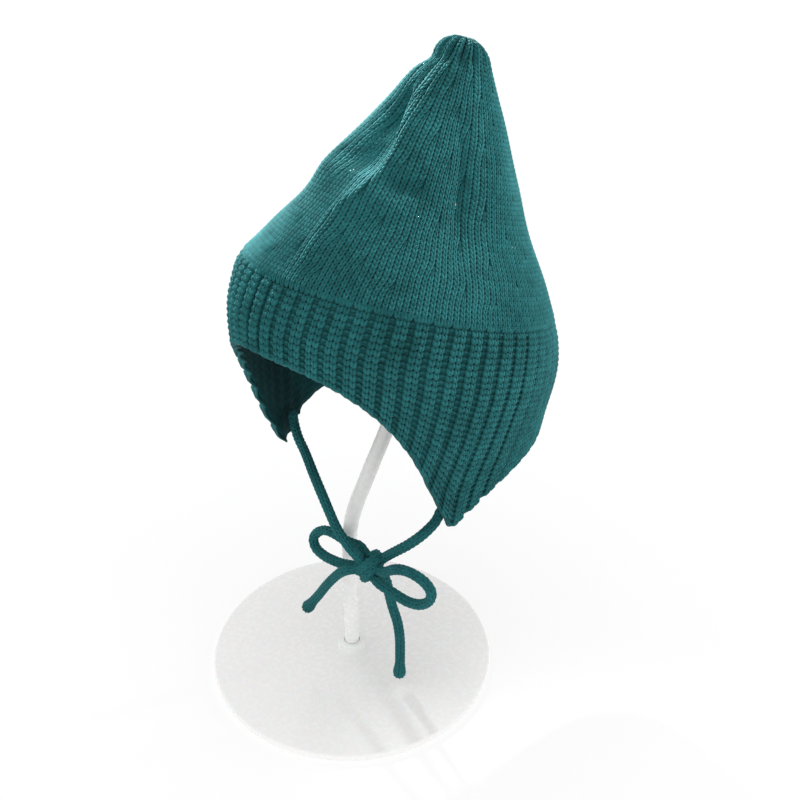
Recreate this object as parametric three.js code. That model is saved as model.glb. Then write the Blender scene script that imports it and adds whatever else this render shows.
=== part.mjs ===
// A baby's knitted pixie bonnet with a ribbed band, ear flaps and tied cords, on its plain stand.
// Millimetres, +Z up. The wearer faces -Y and the wearer's left is +X.
// The origin is the middle of the stand's underside.

import * as THREE from 'three';

// Clearance between neighbouring pieces
const gap = 0.3;

// How the bonnet sits: the ring is the line where the crown meets the ribbed band
const hatTilt = 21; // degrees that the ring leans back
const hatBack = 37.5; // ring's centre behind the post's foot
const hatHeight = 191; // ring's centre above the floor
const ringHalfWidth = 64;
const ringHalfDepth = 74;

// Crown
const crownHeight = 102; // ring to peak, along the leaning axis
const crownWall = 2.8;
const crownColumns = 60;

// Ribbed band with its ear flaps
const bandWall = 3.6;
const bandRise = 1.2; // how far the band stands proud of the crown
const frontDepth = 30; // ring to hem over the forehead
const tipDepth = 98; // ring to the ear flaps' points
const napeDepth = 53; // ring to hem at the nape
const tipAngle = 79; // degrees from the front to a flap's point
const frontCurve = 2.6; // how late the hem falls between forehead and point
const backCurve = 2.9; // how late the hem falls between nape and point
const flapSweep = 12; // degrees that the flaps' ribs turn forward on their way down
const frontRibs = 25; // ribs ahead of the flaps' points
const backRibs = 31; // ribs behind them
const ribDepth = 0.9;

// Tied cords
const tieDiameter = 4.6;
const tieSides = 8;
const tieStep = 2.2; // length of a tube's step, in diameters
const knotCentre = [23, -10, 75.5];
const knotLength = 15.6; // along the wrap that crosses the bow
const knotBreadth = 12;
const knotDepth = 13;
const knotLean = 58; // degrees that the wrap climbs to the wearer's left

// Stand
const baseRadius = 68;
const baseThickness = 3.4;
const baseDome = 1.4; // rise of the base's top from its rim to the boss
const baseSides = 56;
const bossRadius = 6;
const bossHeight = 9;
const socketFloor = 2.6;
const postRadius = 3.5;
const postSides = 12;
const postSteps = 26;
const restShare = 0.4; // where the rest carries the crown, as a share of the crown's height
const restRim = 3;
const restDome = 5;

const degree = Math.PI / 180;
const halfTurn = 180;

// Crown sections: shares of the crown's height, of the ring's half width and half depth, and
// the lean to the wearer's left as a share of the crown's height. The last rows are the knob.
const crownSections = [
  { height: 0, width: 1, depth: 1, left: 0 },
  { height: 0.12, width: 0.895, depth: 0.885, left: 0.001 },
  { height: 0.3, width: 0.705, depth: 0.69, left: 0.003 },
  { height: 0.49, width: 0.575, depth: 0.55, left: 0.008 },
  { height: 0.685, width: 0.4, depth: 0.38, left: 0.015 },
  { height: 0.845, width: 0.25, depth: 0.235, left: 0.022 },
  { height: 0.91, width: 0.195, depth: 0.182, left: 0.026 },
  { height: 0.95, width: 0.172, depth: 0.16, left: 0.028 },
  { height: 0.98, width: 0.14, depth: 0.13, left: 0.03 },
  { height: 1, width: 0.08, depth: 0.075, left: 0.03 },
];

// Heights of the crown's rows of faces, outside and inside
const crownRows = [0, 0.06, 0.12, 0.19, 0.26, 0.33, 0.4, 0.47, 0.54, 0.61, 0.685, 0.76, 0.845, 0.91, 0.95, 0.98, 1];
const liningRows = [0, 0.12, 0.26, 0.4, 0.54, 0.685, 0.845, 0.92];

// Folds of the crown: angle from the front and height of the middle, how the angle turns over the
// crown's full height, half sizes, and the depth as a share of the ring's half width.
const crownFolds = [
  { angle: 9, height: 0.42, turn: 24, wide: 13, tall: 0.3, depth: -0.042 },
  { angle: -10, height: 0.62, turn: -12, wide: 13, tall: 0.17, depth: 0.07 },
  { angle: 59, height: 0.43, turn: -20, wide: 17, tall: 0.22, depth: 0.04 },
  { angle: 36, height: 0.36, turn: 0, wide: 11, tall: 0.06, depth: 0.022 },
  { angle: 118, height: 0.36, turn: 16, wide: 18, tall: 0.24, depth: 0.035 },
  { angle: -62, height: 0.34, turn: 20, wide: 17, tall: 0.22, depth: 0.035 },
  { angle: -125, height: 0.46, turn: -14, wide: 16, tall: 0.2, depth: 0.045 },
  { angle: 178, height: 0.3, turn: 10, wide: 20, tall: 0.16, depth: 0.03 },
];

// Band sections: drop as a share of the points' depth, shares of the ring's half width and half
// depth, and how far the section hangs back as a share of the points' depth.
const bandSections = [
  { drop: 0, width: 1, depth: 1, back: 0 },
  { drop: 0.25, width: 0.995, depth: 1.135, back: 0.085 },
  { drop: 0.5, width: 0.947, depth: 1.105, back: 0.165 },
  { drop: 0.75, width: 0.872, depth: 1.115, back: 0.245 },
  { drop: 1, width: 0.812, depth: 0.98, back: 0.34 },
];

// Rows of the band's faces from ring to hem, outside and inside
const bandRows = [0, 0.16, 0.34, 0.52, 0.7, 0.86, 1];
const bandLiningRows = [0, 0.34, 0.7, 1];

// One rib of the band: shares of its breadth, and of the groove's depth
const ribProfile = [
  { across: 0, groove: 1 },
  { across: 0.24, groove: 0 },
  { across: 0.76, groove: 0 },
];

// The post's bends: shares of the rest's height above the floor and of its distance behind the foot
const postBends = [
  { rise: 0.12, back: 0 },
  { rise: 0.26, back: 0 },
  { rise: 0.36, back: 0.05 },
  { rise: 0.435, back: 0.25 },
  { rise: 0.53, back: 0.54 },
  { rise: 0.62, back: 0.74 },
  { rise: 0.73, back: 0.87 },
  { rise: 0.85, back: 0.9 },
];

// The cords' routes, chosen by hand: each tie runs from inside its flap's point to the knot,
// leaves it as a loop and comes out of it again as a tail.
const tieRoutes = {
  left_tie_run: [
    [44.6, 13, 106.5], [44.8, 8.5, 101], [44, 3, 98], [42.9, -1, 96.2], [39.2, -4, 92],
    [35.5, -5.4, 88.3], [31.6, -6.2, 84.4], [28.4, -7.5, 81.1],
  ],
  left_tie_loop: [
    [29.9, -11.7, 77.4], [33.6, -12.5, 79.2], [38.5, -13, 83.6], [44, -13, 86.6], [50.9, -13, 87.8],
    [56.8, -12.5, 86], [59.4, -12, 82], [58.1, -12, 76.6], [53.4, -12.2, 72], [47.4, -12.5, 70],
    [41.4, -13.2, 70.6], [36.5, -14, 72], [32, -14.2, 72.6], [28.6, -13.4, 73],
  ],
  left_tie_tail: [
    [26.1, -6.9, 70.2], [27.6, -5.3, 66.5], [28.7, -4.7, 60], [30.6, -4.4, 52], [33.3, -4, 43.8],
    [34.8, -4, 34.8], [35, -4, 25], [34.8, -4, 15.7], [34.3, -4, 9.5],
  ],
  right_tie_run: [
    [-48.1, 13.5, 117], [-44.5, 11, 111.5], [-38.5, 7.5, 108], [-30.7, 4, 105], [-19.1, -2, 100.6],
    [-8.2, -7, 95.4], [-2.3, -9.5, 92], [3, -11.5, 88.6], [8, -12.9, 86], [14.3, -13.9, 83],
    [18.9, -13.3, 79.6],
  ],
  right_tie_loop: [
    [17.4, -7.7, 78.1], [13.5, -6.6, 79], [8.5, -6.5, 78], [3.5, -6.6, 77.4], [-1.5, -6.8, 78],
    [-8, -6.8, 77], [-13, -7.2, 73.5], [-15.3, -8, 69], [-12.6, -9.3, 65.8], [-6, -10.2, 65],
    [-1, -10.6, 65.8], [4.5, -11, 67.2], [11, -10.9, 69.4], [16.2, -10.4, 71.6],
  ],
  right_tie_tail: [
    [18.5, -15.4, 74.3], [15.2, -17.6, 73.2], [11.5, -17.8, 69.8], [6.8, -17.2, 63.8], [1, -16.6, 55.5],
    [-5.3, -16.2, 45.2], [-11, -16, 36.5], [-14.5, -16, 31],
  ],
};

const yarn = { color: 0x1d6f70, roughness: 0.95, metalness: 0 };
const plastic = { color: 0xf1f1ee, roughness: 0.35, metalness: 0 };

// A smooth value between the rows of a table, without overshoot.
function between(rows, key, column, at) {
  const last = rows.length - 2;
  let row = 0;
  while (row < last && at > rows[row + 1][key]) row += 1;
  const slope = (index) => {
    const [low, high] = [rows[index], rows[index + 1]];
    return (high[column] - low[column]) / (high[key] - low[key]);
  };
  const bend = (index) => {
    if (index === 0) return slope(0);
    if (index > last) return slope(last);
    const [before, after] = [slope(index - 1), slope(index)];
    return before * after > 0 ? (2 * before * after) / (before + after) : 0;
  };
  const [low, high] = [rows[row], rows[row + 1]];
  const span = high[key] - low[key];
  const share = Math.min(Math.max((at - low[key]) / span, 0), 1);
  const rest = 1 - share;
  const start = low[column] * (1 + 2 * share) + bend(row) * span * share;
  const end = high[column] * (1 + 2 * rest) - bend(row + 1) * span * rest;
  return start * rest * rest + end * share * share;
}

// An angle in degrees brought between minus and plus half a turn.
function wrapped(angle) {
  return angle - 2 * halfTurn * Math.round(angle / (2 * halfTurn));
}

// A point of an oval section, moved inwards at right angles to the section.
function ovalPoint(angle, width, depth, inset) {
  const [side, front] = [Math.sin(angle * degree), Math.cos(angle * degree)];
  const normal = new THREE.Vector2(side / width, -front / depth).normalize();
  return new THREE.Vector2(width * side - normal.x * inset, -depth * front - normal.y * inset);
}

// How far the folds press the crown in at an angle and a height.
function foldDepth(angle, share) {
  let depth = 0;
  for (const fold of crownFolds) {
    const middle = fold.angle + fold.turn * (share - fold.height);
    const across = wrapped(angle - middle) / fold.wide;
    const along = (share - fold.height) / fold.tall;
    depth += fold.depth * ringHalfWidth * Math.exp(-across * across - along * along);
  }
  return depth;
}

function crownPoint(angle, share, inset) {
  const width = ringHalfWidth * between(crownSections, 'height', 'width', share);
  const depth = ringHalfDepth * between(crownSections, 'height', 'depth', share);
  const left = crownHeight * between(crownSections, 'height', 'left', share);
  const oval = ovalPoint(angle, width, depth, inset + foldDepth(angle, share));
  return new THREE.Vector3(oval.x + left, oval.y, share * crownHeight);
}

// Depth of the hem below the ring at an angle from the front.
function hemDepth(angle) {
  const turn = Math.abs(wrapped(angle));
  if (turn < tipAngle) return frontDepth + (tipDepth - frontDepth) * (turn / tipAngle) ** frontCurve;
  const behind = (halfTurn - turn) / (halfTurn - tipAngle);
  return napeDepth + (tipDepth - napeDepth) * behind ** backCurve;
}

function bandPoint(angle, share, inset) {
  const drop = share * hemDepth(angle);
  const reach = drop / tipDepth;
  const side = Math.sin(angle * degree);
  const turned = angle - flapSweep * side * Math.abs(Math.sin((angle * degree) / 2)) * reach ** 2;
  const width = ringHalfWidth * between(bandSections, 'drop', 'width', reach) + bandRise;
  const depth = ringHalfDepth * between(bandSections, 'drop', 'depth', reach) + bandRise;
  const back = tipDepth * between(bandSections, 'drop', 'back', reach);
  const oval = ovalPoint(turned, width, depth, inset);
  return new THREE.Vector3(oval.x, oval.y + back, -drop);
}

// The band's columns: an angle and a groove share for each, with a column on each flap's point.
function ribColumns() {
  const columns = [];
  const addRibs = (start, end, count) => {
    for (let rib = 0; rib < count; rib += 1) {
      for (const { across, groove } of ribProfile) {
        columns.push({ angle: start + ((end - start) * (rib + across)) / count, groove });
      }
    }
  };
  addRibs(-tipAngle, tipAngle, frontRibs);
  addRibs(tipAngle, 2 * halfTurn - tipAngle, backRibs);
  return columns;
}

// Loops of points, one above another, joined into a closed skin whose faces point out.
// A ring joins its last loop to its first; any other skin is capped at both ends.
function skin(loops, isRing) {
  const count = loops[0].length;
  const points = loops.flat();
  const faces = [];
  const at = (loop, column) => (loop % loops.length) * count + (column % count);
  const strips = isRing ? loops.length : loops.length - 1;
  for (let loop = 0; loop < strips; loop += 1) {
    for (let column = 0; column < count; column += 1) {
      const [a, b] = [at(loop, column), at(loop, column + 1)];
      const [d, c] = [at(loop + 1, column), at(loop + 1, column + 1)];
      faces.push([a, b, c], [a, c, d]);
    }
  }
  if (!isRing) {
    for (const loop of [0, loops.length - 1]) {
      const middle = points.length;
      const total = loops[loop].reduce((sum, point) => sum.add(point), new THREE.Vector3());
      points.push(total.divideScalar(count));
      for (let column = 0; column < count; column += 1) {
        const [a, b] = [at(loop, column), at(loop, column + 1)];
        faces.push(loop === 0 ? [middle, b, a] : [middle, a, b]);
      }
    }
  }
  const volume = faces.reduce((sum, [a, b, c]) => sum + points[a].dot(points[b].clone().cross(points[c])), 0);
  const outward = volume < 0 ? faces.map(([a, b, c]) => [a, c, b]) : faces;
  const geometry = new THREE.BufferGeometry().setFromPoints(points);
  geometry.setIndex(outward.flat());
  geometry.computeVertexNormals();
  return geometry;
}

function evenAngles(count) {
  return Array.from({ length: count }, (_, index) => (2 * halfTurn * index) / count);
}

// The crown is one hollow shell: up the outside to the peak and up the inside to the knob's floor.
function crownGeometry() {
  const angles = evenAngles(crownColumns);
  const lift = gap / crownHeight;
  const slant = Math.hypot(1, ringHalfWidth / crownHeight);
  const outside = crownRows.map((share) => angles.map((angle) => crownPoint(angle, Math.max(share, lift), 0)));
  const inside = liningRows.map((share) =>
    angles.map((angle) => crownPoint(angle, Math.max(share, lift), crownWall * slant)));
  return skin([...inside.reverse(), ...outside], false);
}

function bandGeometry() {
  const columns = ribColumns();
  const outside = bandRows.map((share) =>
    columns.map(({ angle, groove }) => bandPoint(angle, share, groove * ribDepth)));
  const inside = bandLiningRows.map((share) => columns.map(({ angle }) => bandPoint(angle, share, bandWall)));
  return skin([...outside, ...inside.reverse()], true);
}

// The rest is a thin domed oval that follows the crown's inside and carries it.
function restGeometry() {
  const angles = evenAngles(crownColumns);
  const slant = Math.hypot(1, ringHalfWidth / crownHeight);
  const inset = crownWall * slant + gap;
  const rim = (share) => angles.map((angle) => crownPoint(angle, share, inset));
  const dome = (size, sink) => rim(restShare).map((point) => {
    const rise = restDome * (1 - size * size) - sink;
    return new THREE.Vector3(point.x * size, point.y * size, point.z + rise);
  });
  const low = restShare - restRim / crownHeight;
  const under = [0.2, 0.55, 0.85].map((size) => dome(size, restRim));
  const over = [0.85, 0.55, 0.2].map((size) => dome(size, 0));
  return skin([...under, rim(low), rim(restShare), ...over], false);
}

// Where the post ends under the rest's flat middle, in the leaning frame.
function restSeat() {
  const flatShare = 0.2;
  return restShare * crownHeight + restDome * (1 - flatShare ** 2) - restRim - gap;
}

function circle(radius, sides) {
  const corners = evenAngles(sides).map((angle) =>
    new THREE.Vector2(radius * Math.cos(angle * degree), radius * Math.sin(angle * degree)));
  return new THREE.Shape(corners);
}

function tubeGeometry(points, radius, sides, steps) {
  const route = new THREE.CatmullRomCurve3(points, false, 'centripetal');
  const count = steps ?? Math.ceil(route.getLength() / (2 * radius * tieStep));
  return new THREE.ExtrudeGeometry(circle(radius, sides), {
    steps: count,
    extrudePath: route,
    bevelEnabled: false,
  });
}

function postGeometry(hatFrame) {
  const top = new THREE.Vector3(0, 0, restSeat()).applyMatrix4(hatFrame);
  const straight = 4 * postRadius;
  const below = new THREE.Vector3(0, 0, restSeat() - straight).applyMatrix4(hatFrame);
  const bends = postBends.map(({ rise, back }) => new THREE.Vector3(0, top.y * back, top.z * rise));
  const foot = new THREE.Vector3(0, 0, socketFloor + gap);
  return tubeGeometry([foot, ...bends, below, top], postRadius, postSides, postSteps);
}

function knotGeometry() {
  const geometry = new THREE.SphereGeometry(0.5, 12, 8);
  geometry.scale(knotLength, knotDepth, knotBreadth);
  geometry.rotateY(-knotLean * degree);
  return geometry.translate(...knotCentre);
}

// The base is a low dome with a boss whose blind socket takes the post.
function baseGeometry() {
  const edge = 1.2;
  const socket = postRadius + gap;
  const top = baseThickness + baseDome;
  const profile = [
    [0, 0], [baseRadius - edge, 0], [baseRadius, edge], [baseRadius, baseThickness - edge],
    [baseRadius - edge, baseThickness], [baseRadius / 2, baseThickness + baseDome * 0.7],
    [2 * bossRadius, top], [bossRadius, top + edge], [bossRadius, bossHeight - edge / 2],
    [bossRadius - edge / 2, bossHeight], [socket, bossHeight], [socket, socketFloor], [0, socketFloor],
  ];
  const geometry = new THREE.LatheGeometry(profile.map(([x, y]) => new THREE.Vector2(x, y)), baseSides);
  return geometry.rotateX(halfTurn / 2 * degree);
}

function piece(name, geometry, finish) {
  const mesh = new THREE.Mesh(geometry, new THREE.MeshStandardMaterial(finish));
  mesh.name = name;
  return mesh;
}

const hat = new THREE.Group();
hat.position.set(0, hatBack, hatHeight);
hat.rotation.x = -hatTilt * degree;
hat.updateMatrix();
hat.add(piece('crown', crownGeometry(), yarn));
hat.add(piece('rib_band', bandGeometry(), yarn));
hat.add(piece('stand_rest', restGeometry(), plastic));

const bonnetOnStand = new THREE.Group();
bonnetOnStand.add(hat);
for (const [name, route] of Object.entries(tieRoutes)) {
  const points = route.map((point) => new THREE.Vector3(...point));
  bonnetOnStand.add(piece(name, tubeGeometry(points, tieDiameter / 2, tieSides), yarn));
}
bonnetOnStand.add(piece('bow_knot', knotGeometry(), yarn));
bonnetOnStand.add(piece('stand_post', postGeometry(hat.matrix), plastic));
bonnetOnStand.add(piece('stand_base', baseGeometry(), plastic));

export default bonnetOnStand;
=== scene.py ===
"""A baby's knitted pixie bonnet on its plain stand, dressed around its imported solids.

Metres and degrees throughout. The wearer faces -Y and the wearer's left is +X. The knitted
pieces are worked out upright, around the ring where the crown meets the ribbed band, and are
then leant into place. Every stitch is two slanting legs of yarn, laid over a thin backing.
"""

import logging
import math
from collections.abc import Callable, Sequence
from dataclasses import dataclass, field
from enum import Enum, IntEnum

import bpy
import numpy as np
import numpy.typing as npt
from mathutils import Matrix, Vector


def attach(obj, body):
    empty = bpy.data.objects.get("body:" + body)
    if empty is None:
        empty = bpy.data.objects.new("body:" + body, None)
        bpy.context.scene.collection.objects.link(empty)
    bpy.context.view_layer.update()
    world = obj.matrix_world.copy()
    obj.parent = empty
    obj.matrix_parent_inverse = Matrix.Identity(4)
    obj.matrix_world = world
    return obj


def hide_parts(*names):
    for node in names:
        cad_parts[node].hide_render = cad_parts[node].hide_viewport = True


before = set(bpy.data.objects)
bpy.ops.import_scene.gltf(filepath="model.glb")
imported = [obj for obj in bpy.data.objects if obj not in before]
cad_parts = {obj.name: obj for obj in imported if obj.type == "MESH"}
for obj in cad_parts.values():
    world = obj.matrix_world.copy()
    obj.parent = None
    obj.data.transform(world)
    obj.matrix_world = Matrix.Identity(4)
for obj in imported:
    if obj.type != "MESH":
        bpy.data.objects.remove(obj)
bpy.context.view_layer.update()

Values = npt.NDArray[np.float64]
Placer = Callable[[Values, Values, Values], Values]  # points, for places across, along and out of stitches
Column = tuple[int, float, float, bool]  # its rib, its middle and width there, and whether it is purled
log = logging.getLogger("bonnet")

MM = 0.001
YARN_MAP = "yarn"  # each corner's place round a strand and along it, or in stitches
CHART_MAP = "OFBake"  # the same corners laid flat without overlaps
BACKING_TONE = 2.6  # the backing's outside, seen between the stitches, is lifted near the stitches' lightness; the inside keeps tone 0 and stays darker as painted shade
CELL_MARGIN = 0.08  # of a stitch's cell in the flat chart, left free on each side
GOLDEN = 0.618  # a step that spreads the groups' decreases evenly


class Slot(Enum):
    """The record's material slots."""

    YARN = "yarn"
    PLASTIC = "stand_plastic"


class Seed(IntEnum):
    """Where each field's tones start, so that every run gives the same ones."""

    CROWN = 3
    RIB = 5
    PURL = 7
    HEM = 11
    CORD = 20
    WRAP = 31
    PASS = 40


# Tables and smooth steps


def eased(values: Values, low: float, high: float) -> Values:
    """A smooth rise from 0 at low to 1 at high."""
    share = np.clip((values - low) / (high - low), 0, 1)
    return share * share * (3 - 2 * share)


def turned(angle: Values) -> Values:
    """Angles brought between minus and plus half a turn."""
    return angle - 360 * np.round(angle / 360)


@dataclass(frozen=True)
class Profile:
    """A short table that is read smoothly between its rows, by its first column."""

    columns: tuple[str, ...]
    rows: tuple[tuple[float, ...], ...]

    def column(self, name: str) -> Values:
        """One column's numbers."""
        return np.array(self.rows, float)[:, self.columns.index(name)]

    def read(self, name: str, at: Values) -> Values:
        """One column's values between the rows, without overshoot.

        Args:
            name: The column to read.
            at: Places along the first column.

        Returns:
            The column's value at each place.
        """
        keys, values = self.column(self.columns[0]), self.column(name)
        slopes = np.diff(values) / np.diff(keys)
        product, total = slopes[:-1] * slopes[1:], slopes[:-1] + slopes[1:]
        inner = np.where(product > 0, 2 * product / np.where(product > 0, total, 1), 0)
        bends = np.concatenate([slopes[:1], inner, slopes[-1:]])
        row = np.clip(np.searchsorted(keys, at) - 1, 0, len(keys) - 2)
        span = keys[row + 1] - keys[row]
        share = np.clip((at - keys[row]) / span, 0, 1)
        rest = 1 - share
        start = values[row] * (1 + 2 * share) + bends[row] * span * share
        end = values[row + 1] * (1 + 2 * rest) - bends[row + 1] * span * rest
        return start * rest**2 + end * share**2


# The bonnet's form


@dataclass(frozen=True)
class Fold:
    """A soft fold of the crown: a dip, or with a negative depth a ridge.

    The angle is from the front, the height is a share of the crown's, and turn is how the
    angle changes over the crown's full height. The depth is a share of the ring's half width.
    """

    angle: float
    height: float
    turn: float
    wide: float
    tall: float
    depth: float

    def pressed(self, angle: Values, share: Values) -> Values:
        """How far the fold presses in at an angle and a height, as a share."""
        middle = self.angle + self.turn * (share - self.height)
        across = turned(angle - middle) / self.wide
        along = (share - self.height) / self.tall
        return self.depth * np.exp(-across * across - along * along)


@dataclass(frozen=True)
class Crease:
    """A sharp line of the crown's cloth, from the ring towards the peak.

    The path's columns are height, as a share of the crown's, angle from the front, rise out of
    the surface in millimetres, and how many degrees it takes to fade to each side.
    """

    path: Profile
    soft: float = 1.5  # degrees over which the line itself is rounded

    def raised(self, angle: Values, share: Values) -> Values:
        """How far the crease lifts the surface."""
        beside = turned(angle - self.path.read("angle", share))
        width = np.where(beside < 0, self.path.read("left", share), self.path.read("right", share))
        away = (np.hypot(beside, self.soft) - self.soft) / width
        return self.path.read("rise", share) * MM * np.exp(-away)


CREASE_COLUMNS = ("height", "angle", "rise", "left", "right")


@dataclass(frozen=True)
class BonnetForm:
    """The outside of the crown and of the ribbed band, as their solids have it."""

    tilt: float = 21
    back: float = 37.5 * MM
    height: float = 191 * MM
    half_width: float = 64 * MM
    half_depth: float = 74 * MM
    crown_height: float = 102 * MM
    band_rise: float = 1.2 * MM
    front_depth: float = 31.5 * MM
    tip_depth: float = 98 * MM
    nape_depth: float = 53 * MM
    tip_angle: float = 79
    front_curve: float = 2.6
    back_curve: float = 3.2
    tip_round: float = 3.8 * MM  # how far the flaps' points are rounded off
    tip_uneven: float = 1.4 * MM  # how much more the right one is than the middle of both
    flap_sweep: float = 12
    right_sweep: float = 9  # how many degrees more the right flap's ribs turn forward
    cap_share: float = 0.05  # length of the knob's closed top, as a share of the crown
    cap_dip: float = 1.2 * MM  # how far the yarn pulls the knob's middle down
    gathers: int = 14  # gathered ridges round the knob
    gather_depth: float = 3.4 * MM
    gather_start: float = 0.87  # share of the crown's height at which they begin
    gather_full: float = 0.94
    crown_sections: Profile = Profile(
        ("height", "width", "depth", "left"),
        (
            (0, 1, 1, 0),
            (0.12, 0.895, 0.885, 0.001),
            (0.3, 0.705, 0.69, 0.003),
            (0.49, 0.575, 0.55, 0.008),
            (0.685, 0.4, 0.38, 0.015),
            (0.845, 0.25, 0.235, 0.022),
            (0.91, 0.195, 0.182, 0.026),
            (0.95, 0.172, 0.16, 0.028),
            (0.98, 0.14, 0.13, 0.03),
            (1, 0.08, 0.075, 0.03),
        ),
    )
    band_sections: Profile = Profile(
        ("drop", "width", "depth", "back"),
        (
            (0, 1, 1, 0),
            (0.25, 0.995, 1.135, 0.085),
            (0.5, 0.947, 1.1, 0.15),
            (0.75, 0.872, 1.1, 0.226),
            (1, 0.812, 0.98, 0.34),
        ),
    )
    folds: tuple[Fold, ...] = (
        Fold(angle=9, height=0.42, turn=24, wide=13, tall=0.3, depth=-0.042),
        Fold(angle=-10, height=0.62, turn=-12, wide=13, tall=0.17, depth=0.07),
        Fold(angle=59, height=0.43, turn=-20, wide=17, tall=0.22, depth=0.04),
        Fold(angle=36, height=0.36, turn=0, wide=11, tall=0.06, depth=0.022),
        Fold(angle=116, height=0.52, turn=16, wide=18, tall=0.12, depth=0.032),
        Fold(angle=113, height=0.26, turn=0, wide=22, tall=0.1, depth=-0.016),
        Fold(angle=-31, height=0.42, turn=0, wide=14, tall=0.12, depth=-0.045),
        Fold(angle=-33, height=0.08, turn=0, wide=20, tall=0.1, depth=0.034),
        Fold(angle=-62, height=0.34, turn=20, wide=17, tall=0.22, depth=0.035),
        Fold(angle=-125, height=0.46, turn=-14, wide=16, tall=0.2, depth=0.045),
        Fold(angle=178, height=0.3, turn=10, wide=20, tall=0.16, depth=0.03),
        Fold(angle=27, height=0.41, turn=0, wide=12, tall=0.035, depth=0.034),
        Fold(angle=24, height=0.335, turn=0, wide=14, tall=0.045, depth=-0.034),
        Fold(angle=-6, height=0.46, turn=0, wide=18, tall=0.055, depth=0.03),
        Fold(angle=-38, height=0.895, turn=0, wide=48, tall=0.028, depth=0.024),
        Fold(angle=-42, height=0.82, turn=0, wide=34, tall=0.05, depth=-0.012),
        Fold(angle=131, height=1, turn=0, wide=55, tall=0.045, depth=0.04),
    )
    creases: tuple[Crease, ...] = (
        Crease(Profile(CREASE_COLUMNS, (
            (0.02, 5.5, 0.5, 5, 12), (0.113, 4, 1.7, 5, 11), (0.243, 2, 2.7, 4, 10), (0.311, 5, 3.1, 4, 9),
            (0.358, 9, 3.3, 4, 9), (0.421, 13.5, 3.4, 3.6, 10), (0.506, 15, 3.2, 3.4, 11),
            (0.574, 13, 2.9, 3.4, 12), (0.647, 9, 2.5, 4, 14), (0.717, 2.5, 1.9, 5, 16),
            (0.8, -6.5, 1.1, 7, 18), (0.87, -14, 0, 9, 20),
        ))),
        Crease(Profile(CREASE_COLUMNS, (
            (0.41, 3, 0, 15, 5), (0.455, 7, -3.8, 17, 5), (0.53, 8, -5.4, 19, 5), (0.614, 3, -5.2, 19, 5.5),
            (0.69, -5, -3.6, 18, 6), (0.77, -13, 0, 16, 7),
        )), soft=3),
        Crease(Profile(CREASE_COLUMNS, (
            (0.13, 62.5, 0, 4, 6), (0.2, 62.5, -1.7, 4, 6), (0.27, 62, -2.7, 4, 6),
            (0.35, 61.5, -3.3, 4, 6), (0.44, 61.5, -3.3, 4, 6), (0.55, 60, -2.7, 5, 7),
            (0.66, 55, -1.6, 6, 8), (0.75, 50, 0, 7, 10),
        ))),
    )

    def oval(self, angle: Values, width: Values, depth: Values, lift: Values) -> tuple[Values, Values]:
        """A point of an oval section, moved outwards at right angles to the section.

        Args:
            angle: Angle from the front.
            width: The section's half width.
            depth: The section's half depth.
            lift: How far the point stands out.

        Returns:
            The point's X and Y.
        """
        side, front = np.sin(np.radians(angle)), np.cos(np.radians(angle))
        across, ahead = side / np.maximum(width, MM), -front / np.maximum(depth, MM)
        size = np.hypot(across, ahead)
        return width * side + across / size * lift, -depth * front + ahead / size * lift

    def placed(self, x: Values, y: Values, z: Values) -> Values:
        """Points leant back with the bonnet, from their place around its upright ring."""
        lean = math.radians(self.tilt)
        ahead = y * math.cos(lean) + z * math.sin(lean) + self.back
        up = z * math.cos(lean) - y * math.sin(lean) + self.height
        return np.stack(np.broadcast_arrays(x, ahead, up), -1)

    def crown(self, angle: Values, reach: Values, lift: Values) -> Values:
        """Points of the crown.

        Args:
            angle: Angle from the front.
            reach: Share of the crown's height. Past 1 it runs over the knob's closed top.
            lift: How far the point stands out of the surface.

        Returns:
            The points in the row frame.
        """
        share = np.clip(reach, 0, 1)
        cap = np.clip((reach - 1) / self.cap_share, 0, 1)
        width = self.half_width * self.crown_sections.read("width", share) * (1 - cap)
        depth = self.half_depth * self.crown_sections.read("depth", share) * (1 - cap)
        left = self.crown_height * self.crown_sections.read("left", share)
        slant = math.hypot(1, self.half_width / self.crown_height)
        pressed = sum(fold.pressed(angle, share) for fold in self.folds) * self.half_width
        ridge = 1 - np.abs(np.cos(np.radians(self.gathers / 2 * angle)))
        pressed = pressed + self.gather_depth * ridge * eased(share, self.gather_start, self.gather_full)
        pressed = pressed - sum(crease.raised(angle, share) for crease in self.creases)
        x, y = self.oval(angle, width, depth, (lift * slant - pressed) * (1 - cap))
        low = np.minimum(reach, 0) * self.crown_height
        return self.placed(x + left, y, share * self.crown_height + low + (lift - self.cap_dip * cap) * cap)

    def hem(self, angle: Values) -> Values:
        """Depth of the band's hem below the ring at an angle from the front."""
        turn = np.abs(turned(angle))
        ahead, behind = turn / self.tip_angle, (180 - turn) / (180 - self.tip_angle)
        front = self.front_depth + (self.tip_depth - self.front_depth) * ahead**self.front_curve
        nape = self.nape_depth + (self.tip_depth - self.nape_depth) * behind**self.back_curve
        blunt = self.tip_round - self.tip_uneven * np.sin(np.radians(angle))
        return (front + nape) / 2 - np.hypot((front - nape) / 2, blunt)

    def band(self, angle: Values, drop: Values, lift: Values) -> Values:
        """Points of the ribbed band.

        Args:
            angle: Angle from the front, at the ring.
            drop: Depth below the ring.
            lift: How far the point stands out of the surface.

        Returns:
            The points in the row frame.
        """
        reach = np.clip(drop / self.tip_depth, 0, 1.1)
        side = np.sin(np.radians(angle))
        sweep = self.flap_sweep * side + self.right_sweep * np.minimum(side, 0)
        angle = angle - sweep * np.abs(np.sin(np.radians(angle / 2))) * reach**2
        width = self.half_width * self.band_sections.read("width", reach) + self.band_rise
        depth = self.half_depth * self.band_sections.read("depth", reach) + self.band_rise
        back = self.tip_depth * self.band_sections.read("back", reach)
        x, y = self.oval(angle, width, depth, lift)
        return self.placed(x, y + back, -drop)


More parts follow.
